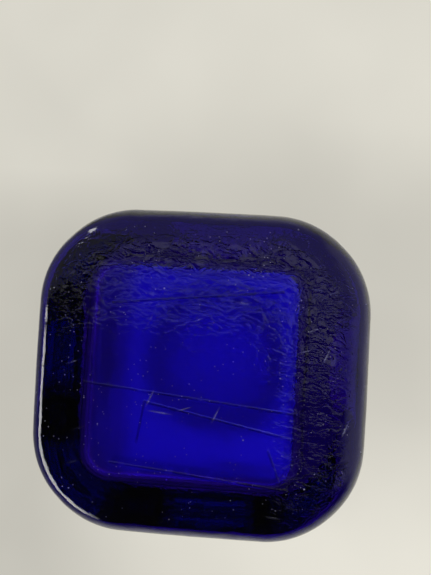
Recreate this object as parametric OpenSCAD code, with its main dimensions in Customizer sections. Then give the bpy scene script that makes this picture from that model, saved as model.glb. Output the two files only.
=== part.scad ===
// Square glass ink bottle with a ribbed screw cap and a two-ply cap liner.
// Millimetres, +Z up. The origin is the middle of the base, on the surface that the bottle stands on.

/* [Body] */
// Width of the glass body across its flat sides, along X
body_w = 55; // [50:0.5:62]
// Depth of the glass body across its flat sides, along Y
body_d = 53.5; // [53:0.5:62]
// Height of the glass body, from its base to the flat of its shoulder
body_h = 44; // [36:1:56]
// Radius of the four upright corners
corner_r = 16; // [14:0.5:17]
// Radius of the heel, where the walls turn under into the base
heel_r = 5.5; // [3:0.5:7]
// Radius of the shoulder, where the walls turn in towards the neck
shoulder_r = 10; // [6:0.5:10]

/* [Chamber] */
// Width of the chamber, along X
chamber_w = 37; // [34:0.5:38]
// Depth of the chamber, along Y
chamber_d = 38; // [34:0.5:38]
// Radius of the chamber's four upright corners
chamber_corner_r = 5.5; // [5:0.5:9]
// Thickness of the glass base
base_t = 6; // [5:0.5:9]
// Thickness of the glass above the chamber
roof_t = 4; // [3.5:0.5:5]
// Radius around the chamber's floor
floor_r = 3.5; // [2:0.5:4.5]
// Radius around the chamber's roof
roof_r = 5; // [3:0.5:5]

/* [Neck] */
// Radius of the mouth's bore
bore_r = 11; // [9:0.5:11.5]
// Outer radius of the neck under the thread
neck_r = 14.6; // [14:0.1:15]
// Height of the neck above the shoulder
neck_h = 14; // [13.5:0.5:16]

/* [Thread] */
// Rise of the thread in one turn
pitch = 4.2; // [4:0.1:4.4]
// Turns of thread on the neck
neck_turns = 1.25; // [1:0.05:1.3]
// Turns of thread in the cap
cap_turns = 1.2; // [1:0.05:1.3]

/* [Cap] */
// Outer radius of the cap over its ribs
cap_r = 18.3; // [18:0.1:19]
// Height of the cap
cap_h = 13.5; // [13:0.1:14]
// Thickness of the cap's top
cap_top_t = 1.8; // [1.5:0.1:1.9]
// Number of ribs around the cap
ribs = 48; // [36:4:60]

/* [Hidden] */
$fn = 96;
overlap = 0.5;

glass_colour = [0.06, 0.03, 0.55];
cap_colour = [0.90, 0.89, 0.85];
backing_colour = [0.78, 0.72, 0.60];
facing_colour = [0.95, 0.95, 0.93];

rim_z = body_h + neck_h;
roof_z = body_h - roof_t;
root_fillet_r = 2;
rim_r = 1.2;

thread_step = 12;
thread_fade = 30;
bead_crest_w = 1;
bead_foot_w = 2.6;
neck_crest_r = neck_r + 1.3;
neck_thread_z = body_h + 6.6;

// The cap sits just off the rim. Its own thread pulls up under the neck's thread.
liner_r = 15.8;
liner_gap = 0.05;
facing_t = 0.25;
backing_t = 0.8;
facing_z = rim_z + liner_gap;
backing_z = facing_z + facing_t;
cap_inside_z = backing_z + backing_t + liner_gap;
cap_z = cap_inside_z + cap_top_t - cap_h;
cap_bore_r = neck_crest_r + 0.5;
cap_crest_r = neck_r + 0.5;
cap_thread_drop = 1.75;
rib_w = 1.1;
rib_outer_r = cap_r - 0.15;
skirt_r = cap_r - 0.6;
band_h = 1.6;
cap_edge_r = 1.2;
cap_dish_r = 13.5;
cap_dish_t = 0.4;

// What a convex rounding of radius r takes off a square corner. The rounding's centre is at the origin.
module corner_waste(r, side) {
  difference() {
    translate([0, side > 0 ? 0 : -r - overlap])
      square(r + overlap);
    circle(r);
  }
}

// A half outline from z0 to z1, reaching w from the axis, with its two outer corners rounded.
module rounded_outline(w, z0, z1, low_r, high_r) {
  difference() {
    translate([0, z0])
      square([w, z1 - z0]);
    translate([w - low_r, z0 + low_r])
      corner_waste(low_r, -1);
    translate([w - high_r, z1 - high_r])
      corner_waste(high_r, 1);
  }
}

// A block with rounded upright corners, whose walls all have the half outline given as the child.
// The corners' centres lie cx and cy from the axis.
module block_around(cx, cy, z0, z1) {
  translate([-cx, -cy, z0])
    cube([2 * cx, 2 * cy, z1 - z0]);
  for (k = [0:3]) {
    along = k % 2 == 0 ? cx : cy;
    across = k % 2 == 0 ? cy : cx;
    rotate([0, 0, 90 * k])
      translate([along, across, 0]) {
        rotate_extrude(angle = 90)
          children();
        rotate([90, 0, 0])
          linear_extrude(2 * across)
            children();
      }
  }
}

// Share of the thread's height at t turns along it: it rises from the wall at both ends.
function thread_share(t, turns) =
  let (fade = thread_fade / 360)
  min(1, t / fade, (turns - t) / fade);

// One cross-section of a thread, from its foot buried in the wall to its crest.
function thread_ring(t, turns, foot_r, crest_r, z) =
  let (
    share = thread_share(t, turns),
    reach = foot_r + (crest_r - foot_r) * (0.25 + 0.75 * share),
    a = 360 * t,
    zc = z + pitch * t,
    section = [
      [foot_r, -bead_foot_w / 2],
      [reach, -bead_crest_w / 2],
      [reach, bead_crest_w / 2],
      [foot_r, bead_foot_w / 2]
    ]
  )
  [for (p = section) [p[0] * cos(a), p[0] * sin(a), zc + p[1]]];

// A right-handed thread bead: a helix of rings, closed at both ends.
module thread(turns, foot_r, crest_r, z) {
  steps = round(turns * 360 / thread_step);
  sides = 4;
  points = [
    for (i = [0:steps])
      each thread_ring(i * turns / steps, turns, foot_r, crest_r, z)
  ];
  outward = crest_r > foot_r;
  walls = [
    for (i = [0:steps - 1], j = [0:sides - 1])
      let (
        a = i * sides + j,
        b = i * sides + (j + 1) % sides,
        c = b + sides,
        d = a + sides
      )
      each outward ? [[a, b, c], [a, c, d]] : [[c, b, a], [d, c, a]]
  ];
  last = steps * sides;
  ends = outward
    ? [[3, 2, 1, 0], [last, last + 1, last + 2, last + 3]]
    : [[0, 1, 2, 3], [last + 3, last + 2, last + 1, last]];
  polyhedron(points, concat(walls, ends));
}

module neck_outline() {
  difference() {
    translate([0, body_h - roof_t / 2])
      square([neck_r, neck_h + roof_t / 2]);
    translate([neck_r - rim_r, rim_z - rim_r])
      corner_waste(rim_r, 1);
  }
}

// The concave turn from the shoulder up into the neck.
module neck_root() {
  rotate_extrude()
    difference() {
      translate([neck_r - overlap, body_h - overlap])
        square(root_fillet_r + overlap);
      translate([neck_r + root_fillet_r, body_h + root_fillet_r])
        circle(root_fillet_r);
    }
}

module chamber() {
  cx = chamber_w / 2 - chamber_corner_r;
  cy = chamber_d / 2 - chamber_corner_r;
  block_around(cx, cy, base_t, roof_z)
    rounded_outline(chamber_corner_r, base_t, roof_z, floor_r, roof_r);
}

module glass_bottle() {
  color(glass_colour)
    difference() {
      union() {
        block_around(body_w / 2 - corner_r, body_d / 2 - corner_r, 0, body_h)
          rounded_outline(corner_r, 0, body_h, heel_r, shoulder_r);
        rotate_extrude()
          neck_outline();
        neck_root();
        thread(neck_turns, neck_r - overlap, neck_crest_r, neck_thread_z);
      }
      chamber();
      translate([0, 0, roof_z - overlap])
        cylinder(h = roof_t + neck_h + 2 * overlap, r = bore_r);
    }
}

module cap_ribs() {
  rib_z = cap_z + band_h - overlap;
  for (k = [0:ribs - 1])
    rotate([0, 0, 360 * k / ribs])
      translate([skirt_r - overlap, -rib_w / 2, rib_z])
        cube([rib_outer_r - skirt_r + overlap, rib_w, cap_h - band_h - cap_edge_r]);
}

module cap_shell() {
  color(cap_colour) {
    difference() {
      union() {
        rotate_extrude()
          rounded_outline(skirt_r, cap_z, cap_z + cap_h, 0.3, cap_edge_r);
        rotate_extrude()
          rounded_outline(cap_r, cap_z, cap_z + band_h, 0.3, 0.4);
        cap_ribs();
      }
      translate([0, 0, cap_z - overlap])
        cylinder(h = cap_inside_z - cap_z + overlap, r = cap_bore_r);
      translate([0, 0, cap_z + cap_h - cap_dish_t])
        cylinder(h = cap_dish_t + overlap, r = cap_dish_r);
    }
    thread(cap_turns, cap_bore_r + overlap, cap_crest_r, neck_thread_z - cap_thread_drop);
  }
}

module liner_backing() {
  color(backing_colour)
    translate([0, 0, backing_z])
      cylinder(h = backing_t, r = liner_r);
}

module liner_facing() {
  color(facing_colour)
    translate([0, 0, facing_z])
      cylinder(h = facing_t, r = liner_r);
}

glass_bottle();
cap_shell();
liner_backing();
liner_facing();
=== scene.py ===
"""Models a square glass ink bottle, its screw cap and its cap liner around a packed frame."""

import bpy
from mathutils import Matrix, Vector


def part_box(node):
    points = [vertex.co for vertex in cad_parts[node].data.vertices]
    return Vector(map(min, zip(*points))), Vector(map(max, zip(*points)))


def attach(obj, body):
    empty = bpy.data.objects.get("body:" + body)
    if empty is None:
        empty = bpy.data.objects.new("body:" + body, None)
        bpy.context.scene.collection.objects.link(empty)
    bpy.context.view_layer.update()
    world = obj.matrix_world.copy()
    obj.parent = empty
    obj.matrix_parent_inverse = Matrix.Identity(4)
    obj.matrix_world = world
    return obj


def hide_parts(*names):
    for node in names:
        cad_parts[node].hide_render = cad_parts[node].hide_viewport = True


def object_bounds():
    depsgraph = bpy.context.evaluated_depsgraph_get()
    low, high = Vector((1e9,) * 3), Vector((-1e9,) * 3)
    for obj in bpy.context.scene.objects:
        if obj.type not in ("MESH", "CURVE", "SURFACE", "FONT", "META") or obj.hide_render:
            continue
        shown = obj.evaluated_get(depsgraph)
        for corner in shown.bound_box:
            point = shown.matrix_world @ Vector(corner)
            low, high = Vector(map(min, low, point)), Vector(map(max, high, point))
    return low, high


bl_info = {
    "name": "Square Ink Bottle",
    "version": (1, 0, 0),
    "blender": (4, 5, 0),
    "location": "3D View > Sidebar > Ink Bottle",
    "description": "Models a square glass ink bottle with its screw cap and cap liner",
    "category": "Add Mesh",
}

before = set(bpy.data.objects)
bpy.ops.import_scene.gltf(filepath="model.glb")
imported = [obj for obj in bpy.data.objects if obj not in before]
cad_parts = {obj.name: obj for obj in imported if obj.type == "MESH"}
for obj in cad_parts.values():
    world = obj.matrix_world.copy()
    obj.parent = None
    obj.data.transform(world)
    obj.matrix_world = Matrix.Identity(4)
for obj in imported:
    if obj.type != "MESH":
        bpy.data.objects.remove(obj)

import math

import bmesh
import bpy
from bpy.props import FloatProperty, FloatVectorProperty, IntProperty, PointerProperty
from bpy.types import Operator, Panel, PropertyGroup
from mathutils import Matrix, Vector, noise

MM = 0.001
TINY = 0.01 * MM
NECK_HEIGHT = 14 * MM
UP = Vector((0, 0, 1))
GLASS_LOW, GLASS_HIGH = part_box("glass_bottle")
CAP_LOW, CAP_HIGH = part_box("cap_shell")
BOARD_LOW, BOARD_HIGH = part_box("liner_backing")
FILM_LOW, FILM_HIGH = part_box("liner_facing")
CAD_LOW, CAD_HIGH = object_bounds()
FADE_TURNS = 30 / 360
GLASS_BOUNCES = 20
ALL_BOUNCES = 24


def length(name, default, description):
    """A size in metres, with a name and a description."""
    return FloatProperty(
        name=name, default=default, description=description, min=0, unit="LENGTH", precision=5
    )


def angle(name, degrees, description):
    """A turn, given in degrees."""
    return FloatProperty(
        name=name, default=math.radians(degrees), description=description, subtype="ANGLE"
    )


def colour(name, default, description):
    """A linear colour."""
    return FloatVectorProperty(
        name=name, default=default, description=description, min=0, max=1, size=3, subtype="COLOR"
    )


# Sizes and colours


class GlassSettings(PropertyGroup):
    """Sizes and colours of the glass bottle."""

    corner_radius: length("Corner radius", 16 * MM, "Radius of the four upright corners")
    heel_radius: length("Heel radius", 5.5 * MM, "Radius where the walls turn under the base")
    shoulder_radius: length("Shoulder radius", 10 * MM, "Radius where the walls turn in")
    shoulder_height: length(
        "Shoulder height", GLASS_HIGH.z - NECK_HEIGHT, "Height of the flat of the shoulder"
    )
    chamber_width: length("Chamber width", 37 * MM, "Width of the chamber along X")
    chamber_depth: length("Chamber depth", 38 * MM, "Depth of the chamber along Y")
    chamber_corner: length("Chamber corner", 5.5 * MM, "Radius of the chamber's upright corners")
    lean: length("Lean", 1.0 * MM, "How far the chamber's floor sits off the middle, along X")
    base: length("Base", 6 * MM, "Thickness of the base")
    roof: length("Roof", 4 * MM, "Thickness of the glass above the chamber")
    floor_radius: length("Floor radius", 3.5 * MM, "Radius around the chamber's floor")
    roof_radius: length("Roof radius", 5 * MM, "Radius around the chamber's roof")
    neck_radius: length("Neck radius", 14.6 * MM, "Outer radius of the neck under its thread")
    bore_radius: length("Bore radius", 11 * MM, "Radius of the mouth's bore")
    root_radius: length("Neck root radius", 2 * MM, "Radius of the turn up into the neck")
    rim_radius: length("Rim radius", 1.2 * MM, "Radius of the rim's outer edge")
    bow: length("Bow", 0.35 * MM, "How far the sides fall back from their middles to the corners")
    wave: length("Wave", 0.16 * MM, "Depth of the slow waves in the outer faces")
    inner_wave: length("Inner wave", 0.5 * MM, "Depth of the slow waves in the chamber's faces")
    wrinkle: length("Wrinkle", 0.02 * MM, "Depth of the chill wrinkles on the base")
    seam: length("Seam", 0.05 * MM, "Height of the mould's parting line, along two sides")
    columns: IntProperty(
        name="Columns", default=256, min=64, description="Faces once round the bottle"
    )
    surface: colour("Surface", (0.09, 0.12, 1.0), "What a thin sheet of the glass lets through")
    tint: colour("Tint", (0.65, 0.03, 0.72), "What lasts longest in thick glass")
    density: FloatProperty(
        name="Density", default=210, min=0, description="How fast the glass takes up light"
    )
    # Colour of the dirt in the mould marks, and of the painted shade in a soft band across the
    # base.
    grime_and_shade: colour("Grime", (0.01, 0.01, 0.12), "Colour of the dirt in the mould marks")
    # Colour of the painted shade on the +X part of the chamber's floor.
    floor_shade_colour: colour("Ink film", (0.04, 0.03, 0.16), "Colour of the dried ink on the floor")
    # Colour of the painted shade in a dark ring round the chamber's floor.
    ring_shade_colour: colour("Ink ring", (0.006, 0.006, 0.04), "Colour of the dried ink round the floor")
    dust: colour("Dust", (0.80, 0.82, 0.90), "Colour of the dust and the scratches")


class ThreadSettings(PropertyGroup):
    """The right-handed thread that joins the neck and the cap."""

    pitch: length("Pitch", 4.2 * MM, "Rise in one turn")
    start: length(
        "Start", GLASS_HIGH.z - NECK_HEIGHT + 6.6 * MM, "Height at which the neck's thread starts"
    )
    crest: length("Crest width", 1 * MM, "Width of the bead's crest")
    foot: length("Foot width", 2.6 * MM, "Width of the bead's foot")
    neck_height: length("Neck bead", 1.3 * MM, "Height of the neck's bead")
    cap_height: length("Cap bead", 1.3 * MM, "Height of the cap's bead")
    drop: length("Cap bead drop", 1.75 * MM, "How far the cap's bead sits under the neck's")
    neck_turns: FloatProperty(
        name="Neck turns", default=1.25, min=0.5, description="Turns of thread on the neck"
    )
    cap_turns: FloatProperty(
        name="Cap turns", default=1.2, min=0.5, description="Turns of thread in the cap"
    )


class CapSettings(PropertyGroup):
    """Sizes and colours of the screw cap."""

    skirt_radius: length("Skirt radius", 17.7 * MM, "Radius between the ribs")
    bore_radius: length("Bore radius", 16.4 * MM, "Inner radius of the skirt")
    top: length("Top", 1.8 * MM, "Thickness of the top")
    band: length("Band", 1.6 * MM, "Height of the plain band at the foot")
    edge_radius: length("Edge radius", 1.2 * MM, "Radius of the top's outer edge")
    dish_radius: length("Dish radius", 13.5 * MM, "Radius of the shallow dish in the top")
    dish: length("Dish", 0.4 * MM, "Depth of the shallow dish in the top")
    ribs: IntProperty(name="Ribs", default=48, min=12, description="Ribs around the cap")
    body: colour("Plastic", (0.80, 0.79, 0.73), "Colour of the moulded plastic")
    # Colour of the dirt and painted shade in the valleys between the ribs.
    grime_and_shade: colour("Grime", (0.42, 0.39, 0.33), "Colour of the dirt between the ribs")


class LinerSettings(PropertyGroup):
    """Colours of the cap's two-ply liner."""

    board: colour("Board", (0.62, 0.53, 0.39), "Colour of the pulp board")
    film: colour("Film", (0.86, 0.86, 0.83), "Colour of the facing film")
    stain: colour("Ink stain", (0.10, 0.11, 0.36), "Colour of the ink marks on the film")


class StageSettings(PropertyGroup):
    """The camera, the floor, the backdrop and the light."""

    distance: length("Distance", 131.3 * MM, "From the camera to the bottle's widest part")
    aside: length("Aside", 14 * MM, "How far the camera stands to the side of the axis")
    above: length("Above", 12 * MM, "How far the camera stands from the axis towards +Y")
    roll: angle("Roll", 3.2, "How far the camera is turned about its own axis")
    pan: angle("Pan", 4.95, "How far the camera is turned back towards the bottle")
    tilt: angle("Tilt", 0.95, "How far the camera is tilted towards +Y")
    lens: FloatProperty(
        name="Lens", default=50, min=1, description="Focal length in millimetres"
    )
    backdrop_height: length("Backdrop height", 0.45, "Height of the pale panel over the bottle")
    backdrop_width: length("Backdrop width", 0.80, "Width of the pale panel over the bottle")
    gap: length("Gap", 20 * MM, "How far the glow lies under the floor")
    table: FloatProperty(
        name="Table glow", default=5.4, min=0, description="Strength of the light inside the glass"
    )
    seen_glow: FloatProperty(
        name="Seen glow", default=3.5, min=0, description="Strength of that light seen in the glass"
    )
    open_glow: FloatProperty(
        name="Open glow", default=0.45, min=0, description="Strength of that light in the open"
    )
    key: FloatProperty(
        name="Key", default=6.5, min=0, description="Strength of the bright strip beside the bottle"
    )
    dark: FloatProperty(
        name="Dark", default=0.012, min=0, description="Strength of the room under the bottle"
    )
    window: FloatProperty(
        name="Window", default=0.60, min=0, description="Strength of the window near the camera"
    )
    beside: FloatProperty(
        name="Beside", default=0.45, min=0, description="Strength of the patch low on the -X side"
    )
    beyond: FloatProperty(
        name="Beyond", default=0.22, min=0, description="Strength of the room past the window"
    )
    sky: FloatProperty(
        name="Sky", default=0.62, min=0, description="Strength of the room over the bottle"
    )
    paper: colour("Paper", (0.66, 0.64, 0.57), "Colour of the backdrop")
    floor: colour("Floor", (0.74, 0.73, 0.70), "Colour of the floor")


# Nodes


class Value:
    """One number socket, with the arithmetic that the materials are written in."""

    def __init__(self, recipe, socket):
        self.recipe = recipe
        self.socket = socket

    def maths(self, operation, *others):
        sockets = dict(enumerate((self, *others)))
        return self.recipe.number("ShaderNodeMath", {"operation": operation}, sockets)

    def __add__(self, other):
        return self.maths("ADD", other)

    __radd__ = __add__

    def __sub__(self, other):
        return self.maths("SUBTRACT", other)

    def __rsub__(self, other):
        return (self * -1) + other

    def __mul__(self, other):
        return self.maths("MULTIPLY", other)

    __rmul__ = __mul__

    def __truediv__(self, other):
        return self.maths("DIVIDE", other)

    def __abs__(self):
        return self.maths("ABSOLUTE")

    def least(self, other):
        return self.maths("MINIMUM", other)

    def most(self, other):
        return self.maths("MAXIMUM", other)

    def root(self):
        return self.maths("SQRT")

    def ramp(self, low, high):
        """0 below low and 1 above high, softly. It falls instead where low is the larger."""
        flipped = low > high
        settings = {"interpolation_type": "SMOOTHSTEP"}
        sockets = {
            "Value": self,
            "From Min": min(low, high),
            "From Max": max(low, high),
            "To Min": 1.0 if flipped else 0.0,
            "To Max": 0.0 if flipped else 1.0,
        }
        return self.recipe.number("ShaderNodeMapRange", settings, sockets)


class Recipe:
    """A node tree and the one way that its nodes are made."""

    def __init__(self, owner):
        owner.use_nodes = True
        self.tree = owner.node_tree
        self.tree.nodes.clear()

    def add(self, kind, settings, sockets):
        """Makes a node, sets it up, then fills or links its sockets by name or number."""
        node = self.tree.nodes.new(kind)
        for name, value in settings.items():
            setattr(node, name, value)
        for name, value in sockets.items():
            socket = node.inputs[name]
            if isinstance(value, Value):
                value = value.socket
            if isinstance(value, bpy.types.NodeSocket):
                self.tree.links.new(value, socket)
            elif isinstance(value, (tuple, list, Vector)) and len(socket.default_value) == 4:
                socket.default_value = (*value[:3], 1)
            else:
                socket.default_value = value
        return node

    def number(self, kind, settings, sockets):
        return Value(self, self.add(kind, settings, sockets).outputs[0])

    def place(self):
        """Where a point lies on the piece, in metres."""
        return self.add("ShaderNodeTexCoord", {}, {}).outputs["Object"]

    def axes(self, vector):
        parts = self.add("ShaderNodeSeparateXYZ", {}, {"Vector": vector})
        return [Value(self, output) for output in parts.outputs]

    def stretched(self, vector, scale, turn=0.0):
        """The same place, turned about Z and then scaled along each axis."""
        turned = self.add("ShaderNodeMapping", {}, {"Vector": vector, "Rotation": (0, 0, turn)})
        sockets = {"Vector": turned.outputs[0], "Scale": scale}
        return self.add("ShaderNodeMapping", {}, sockets).outputs[0]

    def cloud(self, vector, size, detail=2.0, rough=0.5, distort=0.0):
        """Soft noise from about 0 to 1, whose features are size across."""
        sockets = {
            "Vector": vector,
            "Scale": 1 / size,
            "Detail": detail,
            "Roughness": rough,
            "Distortion": distort,
        }
        return self.number("ShaderNodeTexNoise", {}, sockets)

    def spots(self, vector, spacing, across="3D"):
        """Distance to the nearest of many scattered points, in units of their spacing."""
        sockets = {"Vector": vector, "Scale": 1 / spacing}
        return self.number("ShaderNodeTexVoronoi", {"voronoi_dimensions": across}, sockets)

    def stroke(self, x, y, start, end, width):
        """1 along a thin straight stroke between two points, and 0 off it."""
        run = Vector(end) - Vector(start)
        along = ((x - start[0]) * run.x + (y - start[1]) * run.y) / run.length_squared
        along = along.most(0).least(1)
        off_x = x - start[0] - along * run.x
        off_y = y - start[1] - along * run.y
        return (off_x * off_x + off_y * off_y).root().ramp(width, width * 0.3)

    def blend(self, factor, first, second):
        """The first colour where factor is 0 and the second where it is 1."""
        settings = {"data_type": "RGBA"}
        mixed = self.add("ShaderNodeMix", settings, {0: factor, 6: first, 7: second})
        return mixed.outputs[2]

    def relief(self, height, depth, under=None):
        """A bump of the given depth in metres where height is 1, laid over another normal."""
        sockets = {"Height": height, "Distance": depth, "Strength": 1.0}
        if under is not None:
            sockets["Normal"] = under
        return self.add("ShaderNodeBump", {}, sockets).outputs[0]


def new_material(name):
    material = bpy.data.materials.new(name)
    return material, Recipe(material)


def finish_material(recipe, sockets, volume=None):
    """The surface shader and the output."""
    shader = recipe.add("ShaderNodeBsdfPrincipled", {}, sockets)
    outputs = {"Surface": shader.outputs[0]}
    if volume is not None:
        outputs["Volume"] = volume.outputs[0]
    recipe.add("ShaderNodeOutputMaterial", {}, outputs)


# Materials


def together(masks):
    """The greatest of several masks."""
    total = masks[0]
    for mask in masks[1:]:
        total = total.most(mask)
    return total


def mould_marks(recipe, x, y):
    """Faint straight lines that the mould leaves on the base."""
    width = 0.30 * MM
    lines = (
        ((14, 11), (-13, 14)),
        ((18, -2), (-16, -5)),
        ((8, -4.5), (-16, -9)),
        ((8, -4.5), (9, -11)),
        ((13, -14.5), (-15, -17)),
        ((-12, -11), (-14, -16)),
    )
    places = [(Vector(start) * MM, Vector(end) * MM) for start, end in lines]
    return together([recipe.stroke(x, y, start, end, width) for start, end in places])


def base_scratches(recipe, place):
    """Fine scratches from the bottle's years on a desk, in three loose directions."""
    patches = recipe.cloud(place, 11 * MM, 1).ramp(0.48, 0.6)
    marks = []
    for turn, spacing in ((0.35, 3.4 * MM), (1.15, 4.3 * MM), (-0.1, 5.1 * MM)):
        way = recipe.stretched(place, (0.10, 1, 1), turn)
        marks.append(recipe.spots(way, spacing, "2D").ramp(0.05, 0.015))
    return together(marks) * patches


def chamber_masks(s, x, y, z):
    """Where the chamber is, where its floor is, and where a dark ring of painted shade lies round
    the floor.
    """
    inside = z.ramp(2.5 * MM, 4 * MM)
    inside = inside * abs(x).ramp(s.chamber_width / 2 + 3 * MM, s.chamber_width / 2 + 2 * MM)
    inside = inside * abs(y).ramp(s.chamber_depth / 2 + 2 * MM, s.chamber_depth / 2 + 1 * MM)
    on_floor = inside * z.ramp(s.base + 5 * MM, s.base + 4 * MM)
    across = (abs(x - s.lean) - (s.chamber_width / 2 - s.chamber_corner)).most(0)
    along = (abs(y) - (s.chamber_depth / 2 - s.chamber_corner)).most(0)
    to_wall = (across * across + along * along).root()
    # A dark, mirror-like ring of painted shade where the chamber's floor meets its walls.
    painted_ring_shade = to_wall.ramp(s.chamber_corner - 2.3 * MM, s.chamber_corner - 1.6 * MM)
    painted_ring_shade = painted_ring_shade * inside * z.ramp(s.base + 8 * MM, s.base + 4 * MM)
    return inside, on_floor, painted_ring_shade


def glass_normal(recipe, s, place, under, chamber, marks):
    """The glass's fine relief: ripples on the sides, and chill wrinkles and marks on the base."""
    x, y, z = recipe.axes(place)
    ripple = recipe.cloud(recipe.stretched(place, (1, 1, 0.35)), 6 * MM)
    swell = recipe.cloud(recipe.stretched(place, (0.7, 1, 1), 0.15), 1.6 * MM)
    crinkle = recipe.cloud(recipe.stretched(place, (0.6, 1, 1), -0.1), 1.6 * MM, 2, 0.6, 0.8)
    crease = abs(crinkle - 0.5).ramp(0.0, 0.12)
    chill = y.ramp(4 * MM, 13 * MM).most(x.ramp(-11 * MM, -16 * MM)).most(0.15)
    fine = recipe.cloud(place, 0.5 * MM, 2, 0.6, 0.3)
    heel = z.ramp(s.heel_radius + 1 * MM, s.heel_radius - 1 * MM)
    seam = abs(y).ramp(0.22 * MM, 0.05 * MM) * (1 - under) * (1 - chamber)
    normal = recipe.relief(ripple * (1 - under * 0.9), 0.25 * MM)
    normal = recipe.relief(swell * (heel - under * 0.6), 0.045 * MM, normal)
    normal = recipe.relief(crease * chill * under, 0.035 * MM, normal)
    normal = recipe.relief(fine * (under * 0.9 + 0.1), 0.005 * MM, normal)
    return recipe.relief(marks.most(seam), 0.035 * MM, normal)


def cobalt_glass(s):
    """Deep blue glass with relief and scuffs under the base, dust, and painted shade: a dark ring
    round the chamber's floor, a patch on the floor's +X part and a soft band across the base.
    """
    material, recipe = new_material("cobalt glass")
    place = recipe.place()
    x, y, z = recipe.axes(place)
    under = z.ramp(1.2 * MM, 0.3 * MM)
    chamber, on_floor, painted_ring_shade = chamber_masks(s, x, y, z)
    marks = mould_marks(recipe, x, y) * under
    normal = glass_normal(recipe, s, place, under, chamber, marks)

    worn = recipe.cloud(place, 6 * MM).ramp(0.46, 0.60)
    dust = recipe.spots(place, 2.2 * MM).ramp(0.075, 0.03) * worn
    specks = recipe.spots(place, 1.7 * MM, "2D").ramp(0.055, 0.02) * worn * under
    scratch = base_scratches(recipe, place) * under
    bright = dust.most(specks).most(scratch * 0.5)
    haze = recipe.cloud(place, 9 * MM, 4, 0.6)
    # A soft dark band of painted shade across the base, near its -Y side.
    painted_band_shade = recipe.stroke(x, y, Vector((12, -14.2)) * MM, Vector((-16, -16.2)) * MM, 1.3 * MM)
    # Dirt in the mould marks, joined by that band of painted shade.
    grime_and_shade = marks.most(painted_band_shade * under * 0.6) * recipe.cloud(place, 2.5 * MM).ramp(0.25, 0.5)
    # Painted shade over the +X part of the chamber's floor.
    painted_floor_shade = on_floor * x.ramp(9.5 * MM, 13 * MM)

    tone = recipe.blend(grime_and_shade * 0.75, tuple(s.surface), tuple(s.grime_and_shade))
    tone = recipe.blend(painted_floor_shade * 0.8, tone, tuple(s.floor_shade_colour))
    tone = recipe.blend(painted_ring_shade, tone, tuple(s.ring_shade_colour))
    tone = recipe.blend(bright, tone, tuple(s.dust))
    density = {"Color": tuple(s.tint), "Density": s.density}
    volume = recipe.add("ShaderNodeVolumeAbsorption", {}, density)
    finish_material(
        recipe,
        {
            "Base Color": tone,
            "Roughness": 0.018 + haze * 0.025 + on_floor * 0.30 + bright * 0.5,
            "Metallic": (bright * 0.7).most(painted_ring_shade * 0.85),
            "IOR": 1.52,
            "Transmission Weight": 1.0,
            "Normal": normal,
        },
        volume,
    )
    return material


def cap_plastic(s):
    """Off-white moulded plastic, darker between the ribs with dirt and painted shade, and with worn
    edges.
    """
    material, recipe = new_material("cap plastic")
    place = recipe.place()
    x, y, z = recipe.axes(place)
    radius = (x * x + y * y).root()
    top_z = CAP_HIGH.z

    outside = radius.ramp(s.bore_radius + 0.6 * MM, s.skirt_radius - 0.3 * MM)
    valley = radius.ramp(s.skirt_radius + 0.25 * MM, s.skirt_radius)
    mottle = recipe.cloud(place, 5 * MM, 4, 0.6)
    # Darker in the valleys between the ribs: dirt, and painted shade in the recesses.
    grime_and_shade = outside * valley * mottle.ramp(0.35, 0.65) * 0.55
    crest = radius.ramp(CAP_HIGH.x - 0.25 * MM, CAP_HIGH.x - 0.05 * MM)
    on_top = z.ramp(top_z - 0.12 * MM, top_z - 0.02 * MM)
    scratch = recipe.cloud(recipe.stretched(place, (9, 1, 1), 0.6), 2.5 * MM, 3, 0.7)
    worn = crest.most(on_top) * scratch.ramp(0.5, 0.62)

    tone = recipe.blend(mottle * 0.25, tuple(s.body), tuple(0.9 * c for c in s.body))
    tone = recipe.blend(grime_and_shade, tone, tuple(s.grime_and_shade))
    tone = recipe.blend(worn * 0.35, tone, (0.9, 0.9, 0.88))

    texture = recipe.cloud(place, 0.35 * MM)
    normal = recipe.relief(texture, 0.02 * MM)
    normal = recipe.relief(scratch.ramp(0.6, 0.7), 0.015 * MM, normal)
    finish_material(
        recipe,
        {
            "Base Color": tone,
            "Roughness": 0.34 + mottle * 0.14 + worn * 0.2 + grime_and_shade * 0.3,
            "IOR": 1.49,
            "Subsurface Weight": 0.35,
            "Subsurface Radius": (1.0, 0.85, 0.7),
            "Subsurface Scale": 0.8 * MM,
            "Normal": normal,
        },
    )
    return material


def pulp_board(s):
    """Pressed pulp board with short fibres."""
    material, recipe = new_material("pulp board")
    place = recipe.place()
    fibres = recipe.cloud(recipe.stretched(place, (5, 1, 5), 0.4), 2.2 * MM, 3, 0.65)
    others = recipe.cloud(recipe.stretched(place, (1, 6, 6), 1.3), 2.6 * MM, 3, 0.65)
    flecks = recipe.spots(place, 1.4 * MM).ramp(0.16, 0.05)
    pale = tuple(min(1, 1.15 * c) for c in s.board)
    dark = tuple(0.6 * c for c in s.board)
    tone = recipe.blend(fibres.most(others).ramp(0.4, 0.7), tuple(s.board), pale)
    tone = recipe.blend(flecks * 0.6, tone, dark)
    normal = recipe.relief(fibres + others, 0.05 * MM)
    finish_material(recipe, {"Base Color": tone, "Roughness": 0.9, "Normal": normal})
    return material


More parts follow.
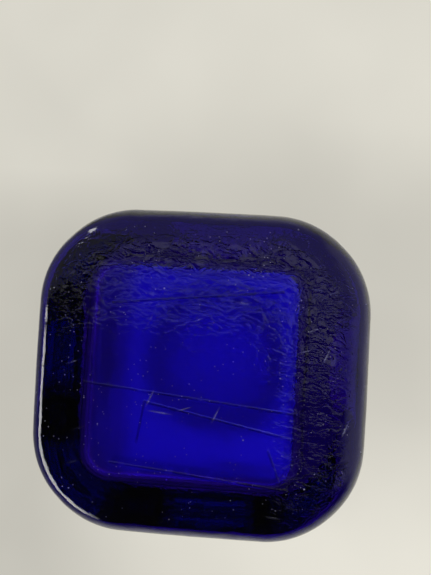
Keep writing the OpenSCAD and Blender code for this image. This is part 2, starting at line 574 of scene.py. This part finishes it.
def liner_film(s, glass):
    """White film with faint ink marks where the rim and the ink have touched it."""
    material, recipe = new_material("liner film")
    place = recipe.place()
    x, y = recipe.axes(place)[:2]
    radius = (x * x + y * y).root()
    cloud = recipe.cloud(place, 4 * MM, 4, 0.6)
    ring = radius.ramp(glass.bore_radius - 0.9 * MM, glass.bore_radius)
    ring = ring * radius.ramp(glass.bore_radius + 0.9 * MM, glass.bore_radius + 0.2 * MM)
    mark = ring * cloud.ramp(0.42, 0.6) * 0.5
    drops = recipe.spots(place, 7 * MM).ramp(0.22, 0.12) * cloud.ramp(0.5, 0.6) * 0.35
    tone = recipe.blend(mark.most(drops), tuple(s.film), tuple(s.stain))
    crinkle = recipe.cloud(place, 2.4 * MM, 3, 0.5, 0.8)
    normal = recipe.relief(crinkle, 0.04 * MM)
    rough = 0.32 + cloud * 0.2
    finish_material(recipe, {"Base Color": tone, "Roughness": rough, "Normal": normal})
    return material


# Shaping


class Outline:
    """A half section drawn as a run of points, each a radius and a height."""

    def __init__(self, radius, height):
        self.points = [Vector((radius, 0, height))]

    def line(self, radius, height, step):
        """A straight stretch to a point, cut into pieces of about step."""
        start = self.points[-1]
        end = Vector((radius, 0, height))
        count = max(1, round((end - start).length / step))
        self.points += [start.lerp(end, k / count) for k in range(1, count + 1)]
        return self

    def arc(self, radius, height, degrees, count):
        """An arc about a centre, from where the outline is, through an angle."""
        centre = Vector((radius, 0, height))
        start = self.points[-1] - centre
        for k in range(1, count + 1):
            a = math.radians(degrees * k / count)
            x = start.x * math.cos(a) - start.z * math.sin(a)
            z = start.x * math.sin(a) + start.z * math.cos(a)
            self.points.append(centre + Vector((x, 0, z)))
        return self


def turned(outline, columns):
    """A closed solid of revolution from an outline that starts and ends on the axis."""
    bm = bmesh.new()
    verts = [bm.verts.new(point) for point in outline.points]
    edges = [bm.edges.new(pair) for pair in zip(verts, verts[1:])]
    bmesh.ops.spin(
        bm,
        geom=verts + edges,
        cent=(0, 0, 0),
        axis=UP,
        dvec=(0, 0, 0),
        angle=math.tau,
        steps=columns,
        use_merge=True,
        use_duplicate=False,
    )
    bmesh.ops.remove_doubles(bm, verts=bm.verts, dist=0.001 * MM)
    bmesh.ops.recalc_face_normals(bm, faces=bm.faces)
    return bm


def add_piece(bm, name, material):
    """A smooth-shaded object at the origin from a finished bmesh."""
    mesh = bpy.data.meshes.new(name)
    bmesh.ops.recalc_face_normals(bm, faces=bm.faces)
    for face in bm.faces:
        face.smooth = True
    bm.to_mesh(mesh)
    bm.free()
    mesh.materials.append(material)
    piece = bpy.data.objects.new(name, mesh)
    bpy.context.scene.collection.objects.link(piece)
    return piece


def smooth_step(low, high, value):
    """0 at low and 1 at high, with a soft turn at both, whichever of the two is the larger."""
    t = min(1.0, max(0.0, (value - low) / (high - low)))
    return t * t * (3 - 2 * t)


def bead_share(s, angle, z, start, turns):
    """How much of its full height a thread's bead has at an angle and a height."""
    for k in range(math.ceil(turns) + 1):
        turn = angle / math.tau + k
        if not 0 <= turn <= turns:
            continue
        away = abs(z - start - s.pitch * turn)
        if away < s.foot / 2:
            ends = min(1, turn / FADE_TURNS, (turns - turn) / FADE_TURNS)
            return ends * smooth_step(s.foot / 2, s.crest / 2 * 0.8, away)
    return 0.0


def whole_angle(x, y):
    return math.atan2(y, x) % math.tau


# The glass bottle


def bottle_outline(s):
    """The half section of the glass through the middle of a side, from base to floor."""
    half = GLASS_HIGH.x
    rim = GLASS_HIGH.z
    shoulder = s.shoulder_height
    ceiling = shoulder - s.roof
    inner = s.chamber_width / 2
    edge = 0.9 * MM
    fine, medium, coarse = 0.4 * MM, 0.8 * MM, 1.2 * MM
    outline = Outline(0, 0)
    outline.line(half - s.heel_radius, 0, fine)
    outline.arc(half - s.heel_radius, s.heel_radius, 90, 16)
    outline.line(half, shoulder - s.shoulder_radius, coarse)
    outline.arc(half - s.shoulder_radius, shoulder - s.shoulder_radius, 90, 18)
    outline.line(s.neck_radius + s.root_radius, shoulder, coarse)
    outline.arc(s.neck_radius + s.root_radius, shoulder + s.root_radius, -90, 10)
    outline.line(s.neck_radius, rim - s.rim_radius, 0.25 * MM)
    outline.arc(s.neck_radius - s.rim_radius, rim - s.rim_radius, 90, 8)
    outline.line(s.bore_radius + edge, rim, medium)
    outline.arc(s.bore_radius + edge, rim - edge, 90, 6)
    outline.line(s.bore_radius, ceiling + edge, coarse)
    outline.arc(s.bore_radius + edge, ceiling + edge, 90, 6)
    outline.line(inner - s.roof_radius, ceiling, coarse)
    outline.arc(inner - s.roof_radius, ceiling - s.roof_radius, -90, 14)
    outline.line(inner, s.base + s.floor_radius, coarse)
    outline.arc(inner - s.floor_radius, s.base + s.floor_radius, -90, 14)
    outline.line(0, s.base, medium)
    return outline


class SquarePlan:
    """Turns a round plan into a rectangle with round corners."""

    def __init__(self, width, depth, corner):
        self.corner = corner
        self.side = width / 2 - corner
        self.squash = (depth / 2 - corner) / self.side
        self.quarter = 2 * self.side + math.pi / 2 * corner

    def edge(self, angle):
        """The centre and the outward direction of the outline at a share of the way round."""
        quadrant, way = divmod(angle / math.tau * 4, 1)
        way = way * self.quarter
        side = self.side
        if way <= side:
            centre, turn = Vector((side, way, 0)), 0.0
        elif way >= self.quarter - side:
            centre, turn = Vector((self.quarter - way, side, 0)), math.pi / 2
        else:
            centre, turn = Vector((side, side, 0)), (way - side) / self.corner
        spin = Matrix.Rotation(quadrant * math.pi / 2, 3, UP)
        centre = spin @ centre
        centre.y *= self.squash
        return centre, spin @ Vector((math.cos(turn), math.sin(turn), 0))

    def put(self, radius, angle, flat):
        """Where a lathed point goes. Inside the flat's radius the plan shrinks to the middle."""
        centre, out = self.edge(angle)
        scale = min(1.0, radius / flat)
        place = (centre + out * (max(radius, flat) - self.side)) * scale
        return place, out, scale


def bottle_zone(s, radius, z):
    """Which part of the lathed bottle a point belongs to."""
    ceiling = s.shoulder_height - s.roof
    on_root = z > s.shoulder_height - TINY and radius < s.neck_radius + s.root_radius + TINY
    if on_root:
        return "neck"
    if z > ceiling - TINY and radius < s.bore_radius + 1 * MM:
        return "neck"
    if s.base - TINY < z < ceiling + TINY and radius < s.chamber_width / 2 + TINY:
        return "chamber"
    return "outside"


def glass_skin(s, place, normal):
    """How far a point of the outer face lies in from its plain shape."""
    slow = noise.noise(place / (11 * MM)) * 0.5 + 0.5
    quick = noise.noise(place / (3.7 * MM) + Vector((7, 3, 1))) * 0.5 + 0.5
    under = smooth_step(0.3, 0.9, -normal.z)
    depth = s.wave * (0.75 * slow + 0.25 * quick) * (1 - 0.7 * under)
    if under > 0:
        bend = Vector((noise.noise(place / (5 * MM)), noise.noise(place / (5 * MM) + UP * 9), 0))
        ridge = 1 - abs(noise.noise((place + bend * 2 * MM) / (1.9 * MM)))
        depth += under * s.wrinkle * ridge
    return depth


def chamber_wave(place):
    """The slow unevenness of the chamber's faces, from about -1 to 1."""
    slow = noise.noise(place / (13 * MM) + Vector((3, 5, 8)))
    quick = noise.noise(place / (4.5 * MM) + Vector((1, 1, 2)))
    return 0.8 * slow + 0.2 * quick


def outside_point(s, plan, radius, angle, z):
    """Where a lathed point of the outer skin goes: squared and bowed."""
    flat = GLASS_HIGH.x - s.heel_radius if z < TINY else TINY
    place, out, scale = plan.put(radius, angle, flat)
    corner = plan.side + s.corner_radius * math.sqrt(0.5)
    fall = min(abs(place.x), abs(place.y)) / corner
    return place - out * s.bow * fall * fall * scale


def chamber_point(s, plan, radius, angle, z):
    """Where a lathed point of the chamber goes: squared, and leaning towards the floor."""
    on_floor = abs(z - s.base) < TINY
    flat = s.chamber_width / 2 - s.floor_radius if on_floor else TINY
    place = plan.put(radius, angle, flat)[0]
    place.x += s.lean * smooth_step(s.shoulder_height - s.roof, s.base, z)
    return place


def neck_point(s, thread, plan, radius, angle, z):
    """Where a lathed point of the neck goes: round, with the thread's bead on its outside."""
    centre, out = plan.edge(angle)
    out = (centre + out * (s.neck_radius + s.root_radius - plan.side)).normalized()
    place = out * radius
    if z > s.shoulder_height + s.root_radius and radius > s.neck_radius - TINY:
        turn = whole_angle(out.x, out.y)
        grow = bead_share(thread, turn, z, thread.start, thread.neck_turns)
        place += out * thread.neck_height * grow
    return place


def shape_bottle(s, thread):
    """The bottle's whole skin: squared, waved, and threaded at the neck."""
    bm = turned(bottle_outline(s), s.columns)
    outer = SquarePlan(2 * GLASS_HIGH.x, 2 * GLASS_HIGH.y, s.corner_radius)
    inner = SquarePlan(s.chamber_width, s.chamber_depth, s.chamber_corner)
    zones = {}
    for vert in bm.verts:
        radius = math.hypot(vert.co.x, vert.co.y)
        angle = whole_angle(vert.co.x, vert.co.y)
        z = vert.co.z
        zones[vert] = bottle_zone(s, radius, z)
        if zones[vert] == "outside":
            place = outside_point(s, outer, radius, angle, z)
        elif zones[vert] == "chamber":
            place = chamber_point(s, inner, radius, angle, z)
        else:
            place = neck_point(s, thread, outer, radius, angle, z)
        vert.co = place + UP * z
    bm.normal_update()
    for vert, zone in zones.items():
        place = vert.co
        if zone == "outside":
            depth = glass_skin(s, place, vert.normal)
            if abs(place.y) < 0.1 * MM and place.z > s.heel_radius:
                depth = max(0.0, depth - s.seam)
            vert.co = place - vert.normal * depth
        elif zone == "chamber":
            vert.co = place + vert.normal * s.inner_wave * chamber_wave(place)
    return bm


# The screw cap


def cap_outline(s):
    """The half section of the cap, from the middle of its top to the middle of its inside."""
    top = CAP_HIGH.z
    foot = CAP_LOW.z
    inside = top - s.top
    band_radius = CAP_HIGH.x
    soft = 0.3 * MM
    outline = Outline(0, top - s.dish)
    outline.line(s.dish_radius - soft, top - s.dish, 1 * MM)
    outline.arc(s.dish_radius - soft, top - s.dish + soft, 60, 4)
    outline.line(s.dish_radius + 2 * soft, top, 0.3 * MM)
    outline.line(s.skirt_radius - s.edge_radius, top, 0.6 * MM)
    outline.arc(s.skirt_radius - s.edge_radius, top - s.edge_radius, -90, 8)
    outline.line(s.skirt_radius, foot + s.band + soft, 0.5 * MM)
    outline.line(band_radius - soft, foot + s.band, 0.2 * MM)
    outline.arc(band_radius - soft, foot + s.band - soft, -90, 4)
    outline.line(band_radius, foot + soft, 0.5 * MM)
    outline.arc(band_radius - soft, foot + soft, -90, 4)
    outline.line(s.bore_radius + soft, foot, 0.4 * MM)
    outline.arc(s.bore_radius + soft, foot + soft, -90, 4)
    outline.line(s.bore_radius, inside - soft, 0.22 * MM)
    outline.arc(s.bore_radius - soft, inside - soft, 90, 4)
    outline.line(0, inside, 1.2 * MM)
    return outline


def shape_cap(s, thread):
    """The cap with its ribs outside and its thread inside."""
    bm = turned(cap_outline(s), 8 * s.ribs)
    low = CAP_LOW.z + s.band - 0.1 * MM
    high = CAP_HIGH.z - s.edge_radius
    proud = CAP_HIGH.x - 0.15 * MM - s.skirt_radius
    for vert in bm.verts:
        radius = math.hypot(vert.co.x, vert.co.y)
        angle = whole_angle(vert.co.x, vert.co.y)
        z = vert.co.z
        out = Vector((math.cos(angle), math.sin(angle), 0))
        on_skirt = 2 * TINY > s.skirt_radius - radius > -proud
        if on_skirt and low < z < high + 0.8 * MM:
            rib = smooth_step(-0.45, 0.55, math.cos(angle * s.ribs))
            fade = smooth_step(high + 0.8 * MM, high - 0.4 * MM, z)
            vert.co += out * proud * rib * fade
        elif -0.05 * MM < radius - s.bore_radius < 2 * TINY:
            start = thread.start - thread.drop
            grow = bead_share(thread, angle, z, start, thread.cap_turns)
            vert.co -= out * thread.cap_height * grow
    return bm


# The liner


def disc_outline(radius, low, high, soft):
    """The half section of a thin disc with soft edges."""
    outline = Outline(0, low)
    outline.line(radius - soft, low, 0.5 * MM)
    outline.arc(radius - soft, low + soft, 90, 4)
    outline.line(radius, high - soft, 0.2 * MM)
    outline.arc(radius - soft, high - soft, 90, 4)
    outline.line(0, high, 1 * MM)
    return outline


def shape_board():
    """The pulp disc, with a slightly uneven cut edge."""
    bm = turned(disc_outline(BOARD_HIGH.x, BOARD_LOW.z + TINY, BOARD_HIGH.z, 0.15 * MM), 96)
    for vert in bm.verts:
        out = Vector((vert.co.x, vert.co.y, 0))
        if out.length > BOARD_HIGH.x - 0.3 * MM:
            vert.co -= out.normalized() * 0.06 * MM * (noise.noise(vert.co / (2 * MM)) + 1) / 2
    return bm


def shape_film(glass):
    """The facing disc, pressed in where the rim meets it."""
    bm = turned(disc_outline(FILM_HIGH.x, FILM_LOW.z, FILM_HIGH.z - TINY, 0.08 * MM), 128)
    middle = (glass.bore_radius + glass.neck_radius) / 2
    reach = (glass.neck_radius - glass.bore_radius) / 2
    for vert in bm.verts:
        radius = math.hypot(vert.co.x, vert.co.y)
        if vert.co.z < FILM_LOW.z + 0.05 * MM:
            pressed = smooth_step(reach, reach * 0.6, abs(radius - middle))
            vert.co.z += 0.08 * MM * pressed
    return bm


# Operators


class INKBOTTLE_OT_glass(Operator):
    """Adds the glass bottle"""

    bl_idname = "ink_bottle.glass"
    bl_label = "Glass Bottle"

    def execute(self, context):
        scene = context.scene
        bm = shape_bottle(scene.bottle_glass, scene.bottle_thread)
        piece = add_piece(bm, "blue_glass", cobalt_glass(scene.bottle_glass))
        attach(piece, "bottle")
        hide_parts("glass_bottle")
        return {"FINISHED"}


class INKBOTTLE_OT_cap(Operator):
    """Adds the screw cap"""

    bl_idname = "ink_bottle.cap"
    bl_label = "Screw Cap"

    def execute(self, context):
        scene = context.scene
        bm = shape_cap(scene.bottle_cap, scene.bottle_thread)
        piece = add_piece(bm, "screw_cap", cap_plastic(scene.bottle_cap))
        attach(piece, "cap")
        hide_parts("cap_shell")
        return {"FINISHED"}


class INKBOTTLE_OT_liner(Operator):
    """Adds the two discs of the cap's liner"""

    bl_idname = "ink_bottle.liner"
    bl_label = "Cap Liner"

    def execute(self, context):
        scene = context.scene
        board = add_piece(shape_board(), "liner_board", pulp_board(scene.bottle_liner))
        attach(board, "liner")
        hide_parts("liner_backing")
        glass = scene.bottle_glass
        film = add_piece(shape_film(glass), "liner_film", liner_film(scene.bottle_liner, glass))
        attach(film, "liner")
        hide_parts("liner_facing")
        return {"FINISHED"}


def plane(name, width, depth, height, material):
    """A flat stage sheet at a height, facing up."""
    bm = bmesh.new()
    bmesh.ops.create_grid(bm, x_segments=1, y_segments=1, size=0.5)
    bmesh.ops.scale(bm, vec=(width, depth, 1), verts=bm.verts)
    bmesh.ops.translate(bm, vec=(0, 0, height), verts=bm.verts)
    sheet = add_piece(bm, name, material)
    return sheet


def floor_material(s):
    """Plain pale floor that shows only its upper side."""
    material, recipe = new_material("floor")
    place = recipe.place()
    tone = recipe.blend(
        recipe.cloud(place, 120 * MM, 3, 0.5), tuple(0.96 * c for c in s.floor), tuple(s.floor)
    )
    surface = recipe.add("ShaderNodeBsdfPrincipled", {}, {"Base Color": tone, "Roughness": 0.75})
    clear = recipe.add("ShaderNodeBsdfTransparent", {}, {})
    back = recipe.add("ShaderNodeNewGeometry", {}, {}).outputs["Backfacing"]
    mixed = recipe.add(
        "ShaderNodeMixShader", {}, {0: back, 1: surface.outputs[0], 2: clear.outputs[0]}
    )
    recipe.add("ShaderNodeOutputMaterial", {}, {"Surface": mixed.outputs[0]})
    return material


def glow_material(s):
    """Pale light from below: mild on matt surfaces, strong on those inside the glass."""
    material, recipe = new_material("table glow")
    path = recipe.add("ShaderNodeLightPath", {}, {})
    matt = Value(recipe, path.outputs["Diffuse Depth"]).least(1)
    inside = matt * Value(recipe, path.outputs["Transmission Depth"]).least(1)
    strength = s.seen_glow + matt * (s.open_glow - s.seen_glow) + inside * (s.table - s.open_glow)
    glow = recipe.add("ShaderNodeEmission", {}, {"Color": tuple(s.floor), "Strength": strength})
    recipe.add("ShaderNodeOutputMaterial", {}, {"Surface": glow.outputs[0]})
    return material


def backdrop_material(s):
    """Pale panel that glows softly downwards, with painted soft shadows over the bottle and towards
    its sides, and a painted brighter patch towards -X and -Y.
    """
    material, recipe = new_material("backdrop")
    place = recipe.place()
    x, y = recipe.axes(place)[:2]
    # Painted soft shadow of the bottle, darkest over the middle.
    bottle_shadow = (x * x + (y - 20 * MM) * (y - 20 * MM)).root().ramp(190 * MM, 60 * MM)
    # Painted soft shade towards the +X side, and weaker towards the -X side.
    side = x.ramp(40 * MM, 170 * MM) * y.ramp(130 * MM, 40 * MM).most(0.25)
    middle = y.ramp(150 * MM, 90 * MM) * y.ramp(-100 * MM, -60 * MM)
    side = side.most(x.ramp(-50 * MM, -150 * MM) * middle * 0.3)
    # A painted brighter patch towards -X and -Y.
    low = y.ramp(-90 * MM, -170 * MM) * x.ramp(60 * MM, -60 * MM)
    cloud = recipe.cloud(place, 90 * MM, 2, 0.4)
    level = 1.10 - bottle_shadow * 0.22 - side * 0.26 + low * 0.10 + (cloud - 0.5) * 0.14
    glow = recipe.add("ShaderNodeEmission", {}, {"Color": tuple(s.paper), "Strength": level})
    recipe.add("ShaderNodeOutputMaterial", {}, {"Surface": glow.outputs[0]})
    return material


def camera_window(right, up, z):
    """Two narrow bands next to the camera, one over it and one to its right."""
    over = up.ramp(0.022, 0.030) * up.ramp(0.095, 0.085)
    to_right = right.ramp(0.020, 0.030) * right.ramp(0.095, 0.085) * up.ramp(-0.11, -0.08)
    return over.most(to_right) * z.ramp(-0.75, -0.9)


def key_strip(x, y, z):
    """A bright strip low on the +X side, and a short one that catches a corner of the bottle."""
    aslant = y / x.most(0.001)
    long_strip = aslant.ramp(0.02, -0.08) * aslant.ramp(-2.6, -1.2)
    short_strip = aslant.ramp(1.0, 1.1) * aslant.ramp(1.35, 1.25)
    level = z.ramp(-0.36, -0.30) * z.ramp(0.10, 0.0)
    return long_strip.most(short_strip) * x.ramp(0.1, 0.3) * level


def build_world(s):
    """A pale room over a dark one with lit patches, all stronger or weaker inside the glass."""
    world = bpy.data.worlds.new("room")
    bpy.context.scene.world = world
    recipe = Recipe(world)
    way = recipe.add("ShaderNodeTexCoord", {}, {}).outputs["Generated"]
    x, y, z = recipe.axes(way)
    path = recipe.add("ShaderNodeLightPath", {}, {})
    in_glass = Value(recipe, path.outputs["Transmission Depth"]).least(1)
    mirrored = Value(recipe, path.outputs["Is Glossy Ray"]) * (1 - in_glass)

    down = (z * -1).most(0.001)
    right = x * -1 / down
    up = y / down
    window = camera_window(right, up, z) * s.window
    beside = x.ramp(-0.35, -0.7) * z.ramp(-0.85, -0.6) * y.ramp(-0.6, -0.3) * s.beside
    beyond = up.most(right * up.ramp(-0.11, -0.08)).ramp(0.08, 0.10) * s.beyond
    lower = s.dark + window.most(beside).most(beyond)

    sky = (s.sky + z.ramp(0.0, 1.0) * 0.12) * (1 + in_glass)
    sky = sky * (1 - mirrored * x.ramp(0.2, 0.6) * 0.7)
    rise = z.ramp(0.0, 0.5)
    rise = rise + in_glass * (z.ramp(0.3, 0.7) - rise)
    key = key_strip(x, y, z) * s.key * (1 - in_glass * 0.92)
    strength = lower + rise * (sky - lower) + key

    lit = {"Color": (1.0, 0.985, 0.96), "Strength": strength}
    glow = recipe.add("ShaderNodeBackground", {}, lit)
    plain = recipe.add("ShaderNodeBackground", {}, {"Color": tuple(s.paper), "Strength": 1.0})
    seen = path.outputs["Is Camera Ray"]
    mixed = recipe.add(
        "ShaderNodeMixShader", {}, {0: seen, 1: glow.outputs[0], 2: plain.outputs[0]}
    )
    recipe.add("ShaderNodeOutputWorld", {}, {"Surface": mixed.outputs[0]})


def add_camera(s):
    """The camera under the base, looking up along the bottle's axis."""
    data = bpy.data.cameras.new("camera")
    data.lens = s.lens
    data.clip_start = 0.005
    camera = bpy.data.objects.new("camera", data)
    up = Vector((math.sin(s.roll), math.cos(s.roll), 0))
    back = -UP
    right = up.cross(back)
    height = bpy.context.scene.bottle_glass.heel_radius - s.distance
    place = right * s.aside + up * s.above + UP * height
    frame_axes = Matrix((right, up, back)).transposed()
    pan = Matrix.Rotation(s.pan, 3, "Y")
    tilt = Matrix.Rotation(s.tilt, 3, "X")
    turn = (frame_axes @ pan @ tilt).to_4x4()
    camera.matrix_world = Matrix.Translation(place) @ turn
    bpy.context.scene.collection.objects.link(camera)
    bpy.context.scene.camera = camera


class INKBOTTLE_OT_stage(Operator):
    """Adds the floor, the backdrop, the light and the camera"""

    bl_idname = "ink_bottle.stage"
    bl_label = "Stage"

    def execute(self, context):
        s = context.scene.bottle_stage
        context.scene.view_settings.view_transform = "Standard"
        context.scene.cycles.max_bounces = ALL_BOUNCES
        context.scene.cycles.glossy_bounces = GLASS_BOUNCES
        context.scene.cycles.transmission_bounces = GLASS_BOUNCES
        floor = plane("floor", 30.0, 30.0, CAD_LOW.z, floor_material(s))
        floor.visible_glossy = False
        floor.visible_transmission = False
        floor.visible_diffuse = False
        floor.visible_shadow = False
        backdrop = plane(
            "backdrop", s.backdrop_width, s.backdrop_width, s.backdrop_height, backdrop_material(s)
        )
        backdrop.visible_shadow = False
        glow = plane("table_glow", 3.0, 3.0, CAD_LOW.z - s.gap, glow_material(s))
        glow.visible_camera = False
        glow.visible_glossy = False
        glow.visible_shadow = False
        build_world(s)
        add_camera(s)
        return {"FINISHED"}


class INKBOTTLE_PT_pieces(Panel):
    """Lists the bottle's pieces and their sizes"""

    bl_idname = "INKBOTTLE_PT_pieces"
    bl_label = "Ink Bottle"
    bl_space_type = "VIEW_3D"
    bl_region_type = "UI"
    bl_category = "Ink Bottle"

    def draw(self, context):
        layout = self.layout
        for operator in PIECES:
            layout.operator(operator.bl_idname)
        for name, group in SETTINGS.items():
            box = layout.box()
            box.label(text=group.__doc__)
            for field in group.__annotations__:
                box.prop(getattr(context.scene, name), field)


SETTINGS = {
    "bottle_glass": GlassSettings,
    "bottle_thread": ThreadSettings,
    "bottle_cap": CapSettings,
    "bottle_liner": LinerSettings,
    "bottle_stage": StageSettings,
}
PIECES = (INKBOTTLE_OT_glass, INKBOTTLE_OT_cap, INKBOTTLE_OT_liner, INKBOTTLE_OT_stage)
CLASSES = (*SETTINGS.values(), *PIECES, INKBOTTLE_PT_pieces)


def register():
    for kind in CLASSES:
        bpy.utils.register_class(kind)
    for name, group in SETTINGS.items():
        setattr(bpy.types.Scene, name, PointerProperty(type=group))


def unregister():
    for name in SETTINGS:
        delattr(bpy.types.Scene, name)
    for kind in reversed(CLASSES):
        bpy.utils.unregister_class(kind)


def main():
    """Builds every piece in order."""
    register()
    bpy.ops.ink_bottle.glass()
    bpy.ops.ink_bottle.cap()
    bpy.ops.ink_bottle.liner()
    bpy.ops.ink_bottle.stage()
    bpy.context.view_layer.update()


if __name__ == "__main__":
    main()
